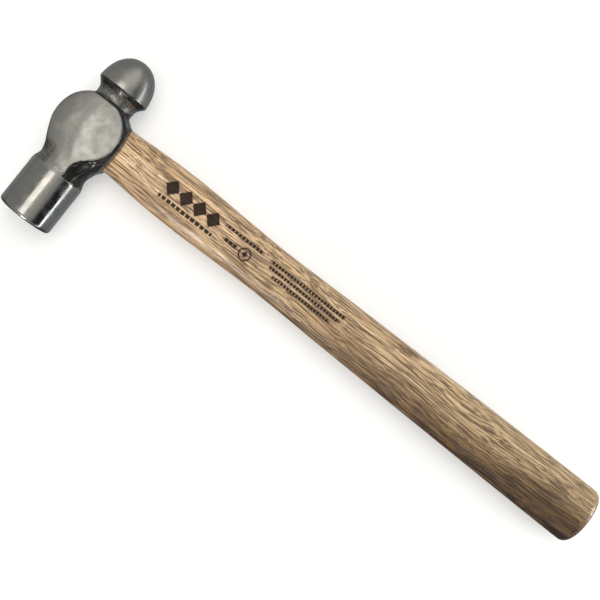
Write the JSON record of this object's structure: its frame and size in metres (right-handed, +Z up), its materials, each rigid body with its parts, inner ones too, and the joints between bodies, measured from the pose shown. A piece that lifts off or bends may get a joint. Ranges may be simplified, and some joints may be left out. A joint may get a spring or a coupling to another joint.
{
  "type": "ball peen hammer",
  "caption": "Ball peen hammer: forged steel head with a flat round striking face and a ball peen, on an oval wooden handle held by wedges.",
  "frame": {"origin": "bottom centre of the hammer's box as it lies on its cheek", "axes": "+X along the handle from head to butt, +Y along the head axis towards the ball peen, +Z up, out of the upper cheek"},
  "size_m": [0.3352, 0.0988, 0.0306],
  "materials": {
    "forged_steel": "satin",
    "lacquered_wood": "satin",
    "wedge_wood": "matte",
    "wedge_steel": "satin"
  },
  "bodies": {
    "root": {"head": "forged_steel", "handle": "lacquered_wood", "wooden_wedge": "wedge_wood", "steel_wedge_peen_side": "wedge_steel", "steel_wedge_face_side": "wedge_steel"}
  },
  "joints": []
}
